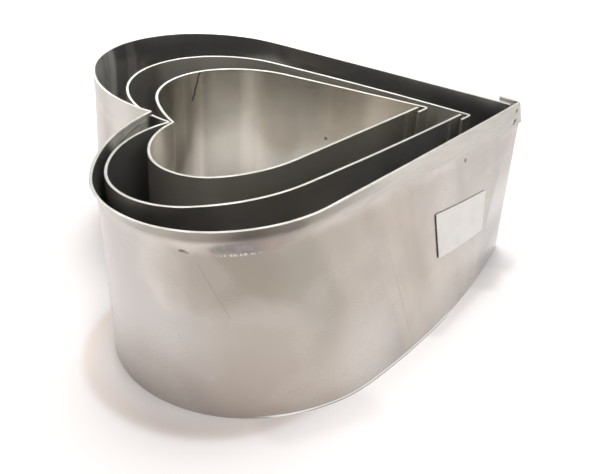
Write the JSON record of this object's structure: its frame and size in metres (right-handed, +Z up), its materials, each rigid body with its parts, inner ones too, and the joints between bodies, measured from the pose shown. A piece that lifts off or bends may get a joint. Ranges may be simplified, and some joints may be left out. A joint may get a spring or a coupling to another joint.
{
  "type": "nested heart cookie cutter set",
  "caption": "Nested heart-shaped cookie cutters of deep stainless strip, folded at the notch and closed at the tip by a hooked hem, with a blank label.",
  "frame": {"origin": "middle of the large cutter's outline, on the plane that the cutters stand on", "axes": "+X from the notch towards the tip, +Y across the heart to the lobe on the far side in the picture, +Z up"},
  "size_m": [0.1258, 0.1406, 0.05],
  "materials": {
    "steel_strip": "satin mill finish with bright cut edges",
    "label_paper": "matt"
  },
  "bodies": {
    "large": {"large_cutter": "steel_strip", "label": "label_paper"},
    "medium": {"medium_cutter": "steel_strip"},
    "small": {"small_cutter": "steel_strip"}
  },
  "joints": [
    {"name": "medium_lift", "type": "slide", "parent": "large", "child": "medium", "axis": [0, 0, 1], "range_m": [0, 0.06]},
    {"name": "small_lift", "type": "slide", "parent": "large", "child": "small", "axis": [0, 0, 1], "range_m": [0, 0.06]}
  ]
}
